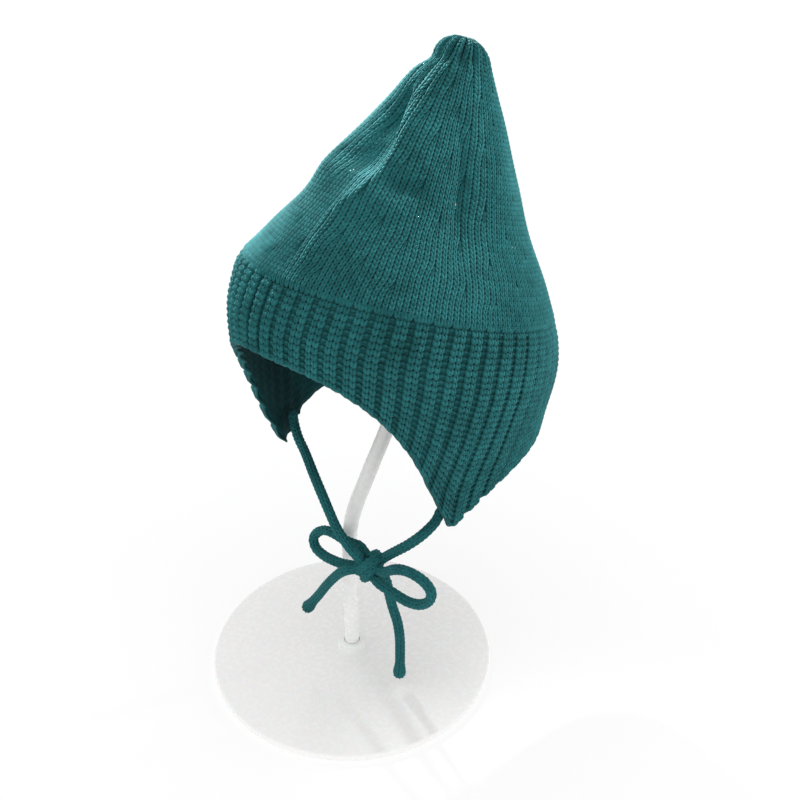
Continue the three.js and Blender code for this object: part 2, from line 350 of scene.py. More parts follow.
# Skins: closed meshes kept as arrays until they are one piece


@dataclass
class Skin:
    """Closed surfaces of one piece, as arrays.

    Faces, yarn and chart have one array for each number of corners. Tone and rise are read by
    the yarn's finish: how light a strand is, and how far it stands out of the fabric. Both carry
    painted shade: tone darkens the sunk purl columns and the lining, and rise darkens each strand's foot.
    """

    points: Values
    faces: list[npt.NDArray[np.int64]]
    yarn: list[Values]
    chart: list[Values]
    tone: Values
    rise: Values

    @property
    def triangles(self) -> int:
        """How many triangles the skin has."""
        return sum(len(faces) * (faces.shape[1] - 2) for faces in self.faces)


def joined(skins: Sequence[Skin]) -> Skin:
    """Several skins as one, each with its own share of the flat chart.

    Args:
        skins: The skins, in order.

    Returns:
        One skin whose charts lie side by side.
    """
    starts = np.cumsum([0] + [len(skin.points) for skin in skins])
    weights = np.sqrt([skin.triangles for skin in skins])
    edges = np.concatenate([[0], np.cumsum(weights) / weights.sum()])
    faces, yarn, chart = [], [], []
    for skin, start, low, high in zip(skins, starts, edges, edges[1:]):
        faces += [numbers + start for numbers in skin.faces]
        yarn += skin.yarn
        chart += [corners * (high - low, 1) + (low, 0) for corners in skin.chart]
    points = np.concatenate([skin.points for skin in skins])
    tone = np.concatenate([skin.tone for skin in skins])
    rise = np.concatenate([skin.rise for skin in skins])
    return Skin(points, faces, yarn, chart, tone, rise)


def strand(line: Values, radii: Values, sides: int, up: Values) -> Skin:
    """A closed strand of yarn that follows a line and is pointed or capped at its ends.

    Args:
        line: Points of the strand's middle. The first and last are its two poles.
        radii: The strand's radius at each point between the poles.
        sides: Corners of its cross section.
        up: The direction of the first corner at each point between the poles.

    Returns:
        The strand's skin.
    """
    along = np.gradient(line, axis=0)[1:-1]
    along /= np.linalg.norm(along, axis=1)[:, None]
    normal = up - (up * along).sum(1)[:, None] * along
    normal /= np.linalg.norm(normal, axis=1)[:, None]
    side = np.cross(along, normal)
    turn = 2 * np.pi * np.arange(sides) / sides
    spokes = normal[:, None] * np.cos(turn)[:, None] + side[:, None] * np.sin(turn)[:, None]
    rings = line[1:-1, None] + spokes * radii[:, None, None]
    points = np.concatenate([line[:1], rings.reshape(-1, 3), line[-1:]])
    count = len(rings)
    ring, corner = np.meshgrid(np.arange(count - 1), np.arange(sides), indexing="ij")
    ring, corner = ring.ravel(), corner.ravel()
    after = (corner + 1) % sides
    low, high = 1 + ring * sides, 1 + (ring + 1) * sides
    quads = np.stack([low + corner, low + after, high + after, high + corner], 1)
    walk = np.linalg.norm(np.diff(line, axis=0), axis=1)
    place = np.concatenate([[0], np.cumsum(walk)])
    body = np.stack([ring + 1, ring + 1, ring + 2, ring + 2], 1)
    around = np.stack([corner, corner + 1, corner + 1, corner], 1) / sides
    quad_map = np.stack([around, place[body]], 2)
    fan, first = np.arange(sides), np.zeros(sides, int)
    next_fan = (fan + 1) % sides
    last = 1 + (count - 1) * sides
    end = first + len(points) - 1
    fans = np.concatenate([
        np.stack([first, 1 + next_fan, 1 + fan], 1),
        np.stack([end, last + fan, last + next_fan], 1),
    ])
    fan_around = np.concatenate([
        np.stack([fan + 0.5, fan + 1, fan], 1),
        np.stack([fan + 0.5, fan, fan + 1], 1),
    ]) / sides
    fan_place = np.concatenate([
        np.tile(place[[0, 1, 1]], (sides, 1)),
        np.tile(place[[-1, -2, -2]], (sides, 1)),
    ])
    maps = [np.stack([fan_around, fan_place], 2), quad_map]
    scale = np.array([1, 1 / place[-1]])
    zeros = np.zeros(len(points))
    return Skin(points, [fans, quads], maps, [corners * scale for corners in maps], zeros, zeros)


def woven(loops: Values, stitches: Values, tones: Values, ring: bool) -> Skin:
    """Loops of points, one after another, joined into a closed skin whose faces point out.

    Args:
        loops: Points in the shape (loops, columns, 3).
        stitches: Each point's place in stitches, in the shape (loops, columns + 1, 2).
        tones: How light each loop is.
        ring: True where the last loop joins the first, False where poles close the ends.

    Returns:
        The skin.
    """
    count, columns = loops.shape[:2]
    points = loops.reshape(-1, 3)
    tone = np.repeat(tones, columns)
    strips = count if ring else count - 1
    row, column = np.meshgrid(np.arange(strips), np.arange(columns), indexing="ij")
    row, column = row.ravel(), column.ravel()
    above, after = (row + 1) % count, (column + 1) % columns
    low, high = row * columns, above * columns
    quads = np.stack([low + column, low + after, high + after, high + column], 1)
    corners = [(row, column), (row, column + 1), (above, column + 1), (above, column)]
    yarn = np.stack([stitches[line, place] for line, place in corners], 1)
    chart = np.stack([np.stack([(column + step) / columns, (row + rise) / strips], 1)
                      for step, rise in ((0, 0), (1, 0), (1, 1), (0, 1))], 1)
    faces, yarns, charts = [quads], [yarn], [chart]
    if not ring:
        place = np.arange(columns)
        poles = loops[[0, -1]].mean(1)
        points = np.concatenate([points, poles])
        tone = np.concatenate([tone, tones[[0, -1]]])
        ends = []
        for pole, line, flip in ((0, 0, True), (1, count - 1, False)):
            fan = np.stack([np.full(columns, len(points) - 2 + pole), line * columns + place,
                            line * columns + (place + 1) % columns], 1)
            ends.append(fan[:, [0, 2, 1]] if flip else fan)
        faces.append(np.concatenate(ends))
        yarns.append(np.zeros((2 * columns, 3, 2)) + stitches[0, 0])
        charts.append(np.zeros((2 * columns, 3, 2)) + (0.5, 0.5))
    a, b, c = (points[quads[:, corner]] for corner in (0, 1, 2))
    d = points[quads[:, 3]]
    volume = (a * np.cross(b, c)).sum() + (a * np.cross(c, d)).sum()
    if volume < 0:
        faces = [numbers[:, ::-1] for numbers in faces]
        yarns = [corners[:, ::-1] for corners in yarns]
        charts = [corners[:, ::-1] for corners in charts]
    return Skin(points, faces, yarns, charts, tone, np.full(len(points), 0.5))


@dataclass(frozen=True)
class Stitch:
    """A stitch's yarn as a few strands, each told by a short table.

    The table's columns are across and along, as shares of the stitch's width and height, and
    rise out of the fabric and thick, both in millimetres. The first and last rows are poles.
    """

    width: float
    height: float
    rows: tuple[tuple[float, float, float, float], ...]
    mirrored: bool = True
    sides: int = 5

    def strands(self) -> list[Skin]:
        """The stitch's strands, in metres from its own middle bottom."""
        table = np.array(self.rows, float)
        found = []
        for sign in (1, -1) if self.mirrored else (1,):
            line = np.stack([sign * table[:, 0] * self.width, table[:, 1] * self.height, table[:, 2] * MM], 1)
            up = np.tile([0.0, 0.0, 1.0], (len(line) - 2, 1))
            found.append(strand(line, table[1:-1, 3] * MM, self.sides, up))
        return found

    def laid(self, place: Placer, tones: Values) -> Skin:
        """Every stitch of a field, laid on its surface.

        Args:
            place: Gives the points of all stitches, in the shape (stitches, points, 3), for a
                point's place across, along and out of one stitch.
            tones: How light each stitch is.

        Returns:
            One skin of all the stitches.
        """
        count, skins = len(tones), []
        for number, one in enumerate(self.strands()):
            across, along = one.points[:, 0] / self.width, one.points[:, 1] / self.height
            points = place(across[None], along[None], one.points[None, :, 2])
            size, grid = len(one.points), math.ceil(math.sqrt(count))
            index = np.arange(count)
            cells = np.stack([index % grid, index // grid], 1)[:, None, None, :]
            first = index[:, None, None] * size
            faces = [(numbers[None] + first).reshape(-1, numbers.shape[1]) for numbers in one.faces]
            yarn = [np.tile(corners, (count, 1, 1)) for corners in one.yarn]
            chart = []
            for corners in one.chart:
                inset = cells + CELL_MARGIN + (1 - 2 * CELL_MARGIN) * corners[None]
                chart.append((inset / grid).reshape(-1, corners.shape[1], 2))
            low, high = one.points[:, 2].min(), one.points[:, 2].max()
            # rise runs from 0 at a strand's foot to 1 at its top; the yarn's finish darkens the foot with it
            # as painted shade
            rise = np.tile((one.points[:, 2] - low) / (high - low), count)
            shade = np.repeat(tones, size)
            skins.append(Skin(points.reshape(-1, 3), faces, yarn, chart, shade, rise))
        return joined(skins)


def spread_tones(count: int, seed: int) -> Values:
    """How light each of many stitches is, from -1 to 1, the same at every run."""
    return np.random.default_rng(seed).uniform(-1, 1, count)


# Shader maths


class Value:
    """A number on a shader socket. Arithmetic on it adds the Math nodes."""

    def __init__(self, graph: "Graph", socket: bpy.types.NodeSocket) -> None:
        """Wraps a graph's socket."""
        self.graph = graph
        self.socket = socket

    def __add__(self, other: "Value | float") -> "Value":
        """This plus another."""
        return self.graph.maths("ADD", self, other)

    def __sub__(self, other: "Value | float") -> "Value":
        """This less another."""
        return self.graph.maths("SUBTRACT", self, other)

    def __rsub__(self, other: float) -> "Value":
        """A number less this."""
        return self.graph.maths("SUBTRACT", other, self)

    def __mul__(self, other: "Value | float") -> "Value":
        """This times another."""
        return self.graph.maths("MULTIPLY", self, other)

    __radd__ = __add__
    __rmul__ = __mul__

    def sine(self) -> "Value":
        """The sine of this, in radians."""
        return self.graph.maths("SINE", self)


class Graph:
    """A material's nodes, with its Principled shader ready."""

    def __init__(self, name: str) -> None:
        """Starts a material of that name."""
        self.material = bpy.data.materials.new(name)
        self.material.use_nodes = True
        self.tree = self.material.node_tree
        self.shader = self.tree.nodes["Principled BSDF"]

    def node(self, kind: str, settings: dict[str, object] | None = None,
             inputs: dict[str | int, object] | None = None) -> bpy.types.Node:
        """Adds a node.

        Args:
            kind: Blender's name of the node's type.
            settings: Its own settings, which are set first.
            inputs: Values, or links as Value or socket, by a socket's name or number.

        Returns:
            The node.
        """
        made = self.tree.nodes.new(kind)
        for key, value in (settings or {}).items():
            setattr(made, key, value)
        for key, value in (inputs or {}).items():
            self.feed(made.inputs[key], value)
        return made

    def feed(self, socket: bpy.types.NodeSocket, value: object) -> None:
        """Links a value to a socket, or sets it there."""
        if isinstance(value, Value):
            value = value.socket
        if isinstance(value, bpy.types.NodeSocket):
            self.tree.links.new(value, socket)
        else:
            socket.default_value = value

    def maths(self, operation: str, *terms: "Value | float") -> Value:
        """One Math node on its terms."""
        made = self.node("ShaderNodeMath", {"operation": operation}, dict(enumerate(terms)))
        return Value(self, made.outputs[0])

    def attribute(self, name: str) -> Value:
        """A number that the mesh carries."""
        made = self.node("ShaderNodeAttribute", {"attribute_name": name})
        return Value(self, made.outputs["Fac"])

    def noise(self, scale: float, detail: float = 2) -> Value:
        """Smooth noise on the object's own coordinates, with features of 1 / scale metres."""
        place = self.node("ShaderNodeTexCoord").outputs["Object"]
        made = self.node("ShaderNodeTexNoise", None, {"Vector": place, "Scale": scale, "Detail": detail})
        return Value(self, made.outputs["Fac"])

    def yarn_place(self) -> tuple[Value, Value]:
        """The place round a strand and along it."""
        flat = self.node("ShaderNodeUVMap", {"uv_map": YARN_MAP}).outputs[0]
        parts = self.node("ShaderNodeSeparateXYZ", None, {0: flat})
        return Value(self, parts.outputs[0]), Value(self, parts.outputs[1])

    def blended(self, factor: Value, low: Sequence[float], high: Sequence[float]) -> bpy.types.NodeSocket:
        """A colour between two, by a factor."""
        made = self.node("ShaderNodeMix", {"data_type": "RGBA"}, {0: factor, 6: (*low, 1), 7: (*high, 1)})
        return made.outputs[2]

    def bump(self, height: Value, distance: float, strength: float) -> None:
        """Presses a height into the shader's normal."""
        inputs = {"Height": height, "Distance": distance, "Strength": strength}
        made = self.node("ShaderNodeBump", None, inputs)
        self.feed(self.shader.inputs["Normal"], made.outputs[0])

    def finish(self, inputs: dict[str, object]) -> bpy.types.Material:
        """Sets the shader's own sockets and gives the material."""
        for key, value in inputs.items():
            self.feed(self.shader.inputs[key], value)
        return self.material


# Finishes

Colour = tuple[float, float, float]


@dataclass(frozen=True)
class TealYarn:
    """Plied teal yarn: mottled, twisted, and a little darker where strands sink, as painted shade."""

    name: str = "teal_yarn"
    deep: Colour = (0.004, 0.047, 0.05)
    bright: Colour = (0.025, 0.18, 0.19)
    sheen: float = 0.06
    middle: float = 0.42  # how light the yarn is, from deep to bright
    uneven: float = 0.16  # how much that changes from stitch to stitch
    mottle: float = 0.7  # how much it changes in broad clouds
    depth: float = 0.5  # how much it changes from a strand's foot to its top: painted shade, darker at the foot
    speckle: float = 0.5  # how much it changes in fine specks
    twist: float = 900.0  # plies' turns along a strand, in radians for each metre
    purl: bool = False

    def material(self) -> bpy.types.Material:
        """The yarn's material.

        Returns:
            A material that reads the mesh's tone and rise and its yarn map.
        """
        graph = Graph(self.name)
        around, along = graph.yarn_place()
        broad, fine = graph.noise(38.0), graph.noise(900.0, 3)
        light = self.middle + self.uneven * graph.attribute("tone") + self.mottle * (broad - 0.5)
        # Painted shade: each strand is darker towards its foot, where it sinks into the fabric.
        light = light + self.depth * (graph.attribute("rise") - 0.5) + self.speckle * (fine - 0.5)
        if self.purl:
            turn = 2 * math.pi
            wave = (along * turn + (around * turn).sine() * 1.2).sine()
            height = wave * 0.6 + fine * 0.2
            # Painted shade: the lining is darkened all over, a little less on the purl pattern's crests.
            light = light + 0.05 * wave - 0.3
            graph.bump(height, 0.3 * MM, 0.4)
        else:
            plies = (around * (4 * math.pi) + along * self.twist).sine()
            graph.bump(plies * 0.5 + fine, 0.14 * MM, 0.7)
        share = graph.maths("MINIMUM", graph.maths("MAXIMUM", light, 0.0), 1.0)
        return graph.finish({
            "Base Color": graph.blended(share, self.deep, self.bright), "Roughness": 0.86,
            "Specular IOR Level": 0.09, "Sheen Weight": self.sheen, "Sheen Roughness": 0.45,
            "Sheen Tint": (0.74, 0.95, 0.98, 1),
        })


@dataclass(frozen=True)
class WhitePlastic:
    """Glossy moulded white plastic, faintly uneven and dusted with fine scuffs."""

    name: str = "white_plastic"
    body: Colour = (0.905, 0.91, 0.9)
    worn: Colour = (0.935, 0.94, 0.925)

    def material(self) -> bpy.types.Material:
        """The plastic's material."""
        graph = Graph(self.name)
        cloud, grain = graph.noise(9.0), graph.noise(420.0, 4)
        graph.bump(graph.noise(60.0), 0.12 * MM, 0.25)
        return graph.finish({
            "Base Color": graph.blended(cloud, self.body, self.worn), "Roughness": 0.2 + 0.14 * grain,
            "Coat Weight": 0.3, "Coat Roughness": 0.12, "Subsurface Weight": 0.1, "Subsurface Scale": 0.004,
        })


@dataclass(frozen=True)
class PaleFloor:
    """A plain matt white surface with a soft light under it."""

    name: str = "pale_floor"
    near: Colour = (0.38, 0.38, 0.38)
    far: Colour = (0.4, 0.4, 0.4)
    glow: float = 0.61  # it is lit from below, so that shadows on it stay faint

    def material(self) -> bpy.types.Material:
        """The floor's material."""
        graph = Graph(self.name)
        return graph.finish({
            "Base Color": graph.blended(graph.noise(3.0), self.near, self.far), "Roughness": 0.9,
            "Emission Color": (1, 1, 1, 1), "Emission Strength": self.glow,
        })


# The knitted pieces


def piece_of(name: str, skin: Skin, finish: bpy.types.Material, *nodes: str) -> bpy.types.Object:
    """A knitted piece from its skin, riding on the object.

    Args:
        name: The piece's name.
        skin: Its closed surfaces.
        finish: Its material.
        nodes: The solids that it stands for.

    Returns:
        The piece.
    """
    mesh = bpy.data.meshes.new(name)
    sizes = np.concatenate([np.full(len(faces), faces.shape[1]) for faces in skin.faces])
    corners = np.concatenate([faces.ravel() for faces in skin.faces])
    mesh.vertices.add(len(skin.points))
    mesh.vertices.foreach_set("co", skin.points.astype(np.float32).ravel())
    mesh.loops.add(len(corners))
    mesh.loops.foreach_set("vertex_index", corners.astype(np.int32))
    mesh.polygons.add(len(sizes))
    mesh.polygons.foreach_set("loop_start", (np.cumsum(sizes) - sizes).astype(np.int32))
    mesh.update(calc_edges=True)
    mesh.shade_smooth()
    for layer, maps in ((YARN_MAP, skin.yarn), (CHART_MAP, skin.chart)):
        flat = np.concatenate([corners.reshape(-1, 2) for corners in maps])
        mesh.uv_layers.new(name=layer).uv.foreach_set("vector", flat.astype(np.float32).ravel())
    for attribute, values in (("tone", skin.tone), ("rise", skin.rise)):
        made = mesh.attributes.new(attribute, "FLOAT", "POINT")
        made.data.foreach_set("value", values.astype(np.float32))
    mesh.materials.append(finish)
    piece = bpy.data.objects.new(name, mesh)
    bpy.context.scene.collection.objects.link(piece)
    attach(piece, "root")
    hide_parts(*nodes)
    log.info("%s: %d triangles", name, skin.triangles)
    return piece


KNIT_LEG = (
    (0.02, -0.7, -0.35, 0.0),
    (0.1, -0.2, 0.08, 0.57),
    (0.21, 0.28, 0.16, 0.62),
    (0.31, 0.78, 0.04, 0.57),
    (0.37, 1.3, -0.5, 0.0),
)

RIB_LEG = (
    (0.05, -0.42, -0.8, 0.0),
    (0.12, -0.1, -0.06, 0.62),
    (0.22, 0.3, 0.24, 0.84),
    (0.32, 0.7, -0.02, 0.66),
    (0.36, 1.04, -0.85, 0.0),
)

CORD_LEG = (
    (0.02, -0.55, -0.5, 0.0),
    (0.1, -0.15, -0.06, 0.5),
    (0.24, 0.4, 0.06, 0.62),
    (0.36, 0.95, 0.0, 0.5),
    (0.42, 1.4, -0.45, 0.0),
)

PURL_BAR = (
    (-0.68, 0.38, -0.7, 0.0),
    (-0.34, 0.5, -0.4, 0.95),
    (0.0, 0.58, -0.25, 1.05),
    (0.34, 0.5, -0.4, 0.95),
    (0.68, 0.38, -0.7, 0.0),
)

HEM_BEAD = (
    (-1.0, 0.12, -0.3, 0.0),
    (-0.5, -0.04, 0.0, 0.85),
    (0.1, -0.1, 0.08, 1.0),
    (0.55, 0.0, 0.0, 0.85),
    (1.0, 0.16, -0.3, 0.0),
)


@dataclass
class Crown:
    """The pointed crown: plain knitting that narrows to a gathered knob."""

    form: BonnetForm
    yarn: bpy.types.Material
    lining: bpy.types.Material
    wale: float = 2.57 * MM
    row: float = 2.05 * MM
    groups: int = 28  # columns that reach the peak
    group_wales: int = 6  # columns in each group at the ring
    wall: float = 2.8 * MM
    backing: float = 0.72 * MM  # how far the backing lies under the outside
    sink: float = 0.45 * MM  # how far the stitches' middle lies under it
    hidden_rows: int = 1  # rows that run on under the band
    stagger: float = 0.9  # how far apart the groups' decreases lie, in columns
    stagger_start: float = 0.6  # how many columns are gone before that shows in full
    least_width: float = 0.3  # a stitch narrower than this share isn't knitted
    hair: float = 1e-4  # a knitted-away column's width, above 0 so that nothing divides by it
    lining_start: float = 0.004  # share of the height at which the wall begins, clear of the ring
    cap_reach: float = 0.9  # of the knob's closed top that the wall covers before its pole
    backing_columns: int = 168
    backing_rows: int = 56
    lining_rows: int = 34
    lining_top: float = 0.92
    reaches: Values = field(init=False)
    walk: Values = field(init=False)

    def __post_init__(self) -> None:
        """Measures the crown's slope once, from the ring to the middle of the knob."""
        self.reaches = np.linspace(0, 1 + self.form.cap_share, 900)
        angles = np.arange(0, 360, 15.0)[None]
        points = self.form.crown(angles, self.reaches[:, None], np.zeros(1))
        steps = np.linalg.norm(np.diff(points, axis=0), axis=2).mean(1)
        self.walk = np.concatenate([[0], np.cumsum(steps)])

    def shares(self, reach: Values, group: Values) -> Values:
        """How wide each column of a group is, from 0, knitted away, to 1.

        Args:
            reach: Share of the crown's height.
            group: The group's number.

        Returns:
            The widths, with the group's columns along the last axis.
        """
        sections = self.form.crown_sections
        share = np.clip(reach, 0, 1)
        around = math.pi * (self.form.half_width * sections.read("width", share)
                            + self.form.half_depth * sections.read("depth", share))
        wanted = np.clip(around / (self.groups * self.wale), 1, self.group_wales)
        shift = self.stagger * ((group * GOLDEN) % 1 - 0.5)
        wanted = wanted + shift * eased(self.group_wales - wanted, 0, self.stagger_start)
        whole = np.floor(wanted)
        wanted = whole + eased(wanted - whole, 0.2, 0.8)
        ranks = np.arange(self.group_wales)
        return np.clip(wanted[..., None] - ranks, 0, 1) + self.hair

    def place(self, group: Values, column: Values, row: Values) -> Placer:
        """A placer for stitches of the crown, by their group, column and row."""
        def points(across: Values, along: Values, out: Values) -> Values:
            """Points across, along and out of each stitch."""
            walked = (row + along) * self.row
            below = np.minimum(walked, 0) / self.form.crown_height
            reach = np.interp(walked, self.walk, self.reaches) + below
            widths = self.shares(reach, group)
            before = np.cumsum(widths, -1) - widths
            pick = np.broadcast_to(column, reach.shape)[..., None]
            start = np.take_along_axis(before, pick, -1)[..., 0]
            width = np.take_along_axis(widths, pick, -1)[..., 0]
            share = (start + width * (0.5 + across)) / widths.sum(-1)
            return self.form.crown((group + share) * 360 / self.groups, reach, out - self.sink)
        return points

    def stitches(self) -> tuple[Values, Values, Values]:
        """The group, column and row of every stitch that isn't knitted away."""
        rows = np.arange(-self.hidden_rows, int(self.walk[-1] / self.row))
        grid = np.meshgrid(np.arange(self.groups), np.arange(self.group_wales), rows, indexing="ij")
        group, column, row = (part.ravel()[:, None] for part in grid)
        reach = np.interp((row + 0.5) * self.row, self.walk, self.reaches)
        width = np.take_along_axis(self.shares(reach, group), column[..., None], -1)[:, 0, 0]
        kept = width > self.least_width
        return group[kept], column[kept], row[kept]

    def build(self) -> None:
        """Makes the backing and the stitches of the crown's front and back halves."""
        group, column, row = self.stitches()
        stitch = Stitch(self.wale, self.row, KNIT_LEG)
        middle = turned((group[:, 0] + 0.5) * 360 / self.groups)
        for name, half in (("front", np.abs(middle) < 90), ("back", np.abs(middle) >= 90)):
            place = self.place(group[half], column[half], row[half])
            skin = stitch.laid(place, spread_tones(int(half.sum()), Seed.CROWN))
            piece_of(f"crown_knitting_{name}", skin, self.yarn, "crown")
        piece_of("crown_lining", self.backing_skin(), self.lining, "crown")

    def backing_skin(self) -> Skin:
        """The thin wall behind the stitches: up its outside and down its inside."""
        angles = np.arange(self.backing_columns + 1) * 360 / self.backing_columns
        top = 1 + self.cap_reach * self.form.cap_share
        outside = np.linspace(self.lining_start, top, self.backing_rows)[:, None]
        inside = np.linspace(self.lining_top, self.lining_start, self.lining_rows)[:, None]
        outer = self.form.crown(angles[None, :-1], outside, np.full(1, -self.backing))
        inner = self.form.crown(angles[None, :-1], inside, np.full(1, -self.wall))
        reach = np.concatenate([inside[:, 0], outside[:, 0]])
        rows = np.interp(reach, self.reaches, self.walk) / self.row
        place = np.stack(np.broadcast_arrays(angles[None] / 360 * self.backing_columns, rows[:, None]), -1)
        # The inside keeps tone 0 and stays darker than the outside: painted shade inside the crown.
        tones = np.repeat([0.0, BACKING_TONE], [len(inner), len(outer)])
        return woven(np.concatenate([inner, outer]), place, tones, ring=False)


@dataclass
class RibBand:
    """The ribbed band with both ear flaps, and its hem.

    Each rib has two knit columns and a sunk purl column. Behind the flaps the ribbing is
    stretched flat, so its purl columns come up and look like the others.
    """

    form: BonnetForm
    yarn: bpy.types.Material
    lining: bpy.types.Material
    front_ribs: int = 25
    back_ribs: int = 31
    row: float = 2.6 * MM
    knit_share: float = 0.345  # of a rib, for each knit column
    sunk_bar_shade: float = -1.2  # painted shade: how much darker the sunk purl columns are
    hem_tone: float = -0.7
    hem_sink: float = 1.0 * MM  # how far the hem's beads lie inside the wall
    groove: float = 0.9 * MM
    groove_half: float = 0.2  # half its width, as a share of a rib
    proud_groove: float = 1.3 * MM  # how much deeper it is where the rib tops stand proud
    proud_middle: float = -48  # angle about which the rib tops stand proud of the crown
    proud_half: float = 46
    proud_soft: float = 7  # degrees to each side over which they sink back
    top_round: float = 2.5 * MM  # how far their tops round back into the crown
    top_reach: float = 7 * MM
    top_most: float = 1.3  # the rounding goes on above the ring, up to this share
    merge: float = 11 * MM  # depth over which the other ribs rise out of the crown
    flat_groove: float = 0.25 * MM
    flat_start: float = 90  # angle at which the ribbing begins to flatten
    flat_end: float = 106
    wall: float = 3.4 * MM
    backing: float = 1.0 * MM
    sink: float = 0.5 * MM
    inner_rib: float = 0.6 * MM
    backing_groove: float = 0.8  # of the stitches' grooves that the wall behind them follows
    backing_end: float = 0.985  # share of the depth at which the wall ends, inside the hem
    backing_steps: int = 6  # columns of faces in each rib
    backing_rows: int = 30

    def starts(self) -> tuple[Values, Values]:
        """Each rib's first angle, and its breadth in degrees."""
        tip = self.form.tip_angle
        front, back = 2 * tip / self.front_ribs, (360 - 2 * tip) / self.back_ribs
        starts = np.concatenate([
            -tip + front * np.arange(self.front_ribs),
            tip + back * np.arange(self.back_ribs),
        ])
        breadth = np.repeat([front, back], [self.front_ribs, self.back_ribs])
        return starts, breadth

    def proud(self, angle: Values) -> Values:
        """How much the rib tops stand proud of the crown at an angle, from 0 to 1."""
        away = np.abs(turned(angle - self.proud_middle))
        return 1 - eased(away, self.proud_half - self.proud_soft, self.proud_half + self.proud_soft)

    def sunk(self, angle: Values, across: Values, drop: Values) -> Values:
        """How deep the stitches lie under the outside.

        Args:
            angle: Angle from the front.
            across: Place across a rib, from 0 to 1.
            drop: Depth below the ring.

        Returns:
            The depth of the groove between two ribs, and of the merge into the crown.
        """
        proud = self.proud(angle)
        flat = eased(np.abs(turned(angle)), self.flat_start, self.flat_end)
        depth = self.groove + self.proud_groove * proud
        depth = depth + (self.flat_groove - depth) * flat
        depth = depth * (proud + (1 - proud) * eased(drop, -1 * MM, self.merge))
        nearest = across - np.round(across)
        merged = self.form.band_rise * (1 - proud) * (1 - eased(drop, 0, self.merge))
        rounded = self.top_round * proud * np.clip(1 - drop / self.top_reach, 0, self.top_most) ** 2
        return depth * np.exp(-((nearest / self.groove_half) ** 4)) + merged + rounded

    def dropped(self, angle: Values, middle: Values, share: Values) -> Values:
        """Depth below the ring at a share of a rib's length: level above, and along the hem below."""
        depth = self.form.hem(middle)
        return share * depth + (self.form.hem(angle) - depth) * np.maximum(share, 0) ** 3

    def place(self, rib: Values, centre: Values, share: Values, row: Values) -> Placer:
        """A placer for stitches of the band.

        Args:
            rib: The stitches' ribs.
            centre: Each stitch's middle across its rib, from 0 to 1.
            share: Each stitch's width as a share of its rib.
            row: Each stitch's row, counted up from the hem.

        Returns:
            A function that gives the stitches' points.
        """
        starts, breadths = self.starts()
        start, breadth = starts[rib], breadths[rib]
        middle = start + breadth / 2
        rows = np.round(self.form.hem(middle) / self.row)

        def points(across: Values, along: Values, out: Values) -> Values:
            """Points across, along and out of each stitch."""
            place = centre + share * across
            angle = start + breadth * place
            drop = self.dropped(angle, middle, 1 - (row + along) / rows)
            return self.form.band(angle, drop, out - self.sink - self.sunk(angle, place, drop))
        return points

    def columns(self) -> list[Column]:
        """Every column of stitches."""
        starts, breadths = self.starts()
        found = []
        for rib, middle in enumerate(turned(starts + breadths / 2)):
            if abs(middle) < (self.flat_start + self.flat_end) / 2:
                found.append((rib, 0.5 - self.knit_share / 2, self.knit_share, False))
                found.append((rib, 0.5 + self.knit_share / 2, self.knit_share, False))
                found.append((rib, 0.0, 1 - 2 * self.knit_share, True))
            else:
                found += [(rib, column / 3, 1 / 3, False) for column in range(3)]
        return found

    def field(self, columns: Sequence[Column]) -> tuple[Values, ...]:
        """The rib, middle, width and row of every stitch in some columns."""
        starts, breadths = self.starts()
        found = []
        for rib, centre, share, _ in columns:
            middle = starts[rib] + breadths[rib] / 2
            count = int(np.round(self.form.hem(middle) / self.row) + np.round(self.proud(middle)))
            found += [(rib, centre, share, row) for row in range(count)]
        rib, centre, share, row = np.array(found, float).T[:, :, None]
        return rib.astype(int), centre, share, row

    def build(self) -> None:
        """Makes the backing, the stitches of the front and back, and the hem."""
        breadths = self.starts()[1]
        radius = (self.form.half_width + self.form.half_depth) / 2
        pitch = float(np.mean(breadths)) * math.radians(1) * radius
        columns = self.columns()
        for name, front in (("front", True), ("back", False)):
            mine = [column for column in columns if (column[0] < self.front_ribs) == front]
            knit, purl = ([c for c in mine if c[3] == purled] for purled in (False, True))
            stitch = Stitch(self.knit_share * pitch, self.row, RIB_LEG)
            where = self.field(knit)
            skins = [stitch.laid(self.place(*where), spread_tones(len(where[0]), Seed.RIB))]
            if purl:
                where = self.field(purl)
                bar = Stitch((1 - 2 * self.knit_share) * pitch, self.row, PURL_BAR, mirrored=False, sides=4)
                # The sunk purl columns are darkened as painted shade.
                tones = self.sunk_bar_shade + spread_tones(len(where[0]), Seed.PURL)
                skins.append(bar.laid(self.place(*where), tones))
            piece_of(f"band_knitting_{name}", joined(skins), self.yarn, "rib_band")
        piece_of("band_lining", self.backing_skin(), self.lining, "rib_band")
        piece_of("band_hem", self.hem_skin(pitch), self.yarn, "rib_band")

    def hem_skin(self, pitch: float) -> Skin:
        """The bound-off hem: one bead of yarn for each half rib, all along the edge.

        Args:
            pitch: A rib's mean breadth at the ring.

        Returns:
            The beads' skin.
        """
        ribs = self.front_ribs + self.back_ribs
        rib = np.repeat(np.arange(ribs), 2)[:, None]
        centre = np.tile([0.25, 0.75], ribs)[:, None]
        share, row = np.full_like(centre, 0.5), np.zeros_like(centre)
        bead = Stitch(pitch / 2, self.row, HEM_BEAD, mirrored=False, sides=8)
        place = self.place(rib, centre, share, row)

        def lowered(across: Values, along: Values, out: Values) -> Values:
            """The beads' points, sunk to the middle of the wall."""
            return place(across, along, out - self.hem_sink)
        return bead.laid(lowered, self.hem_tone + spread_tones(2 * ribs, Seed.HEM))

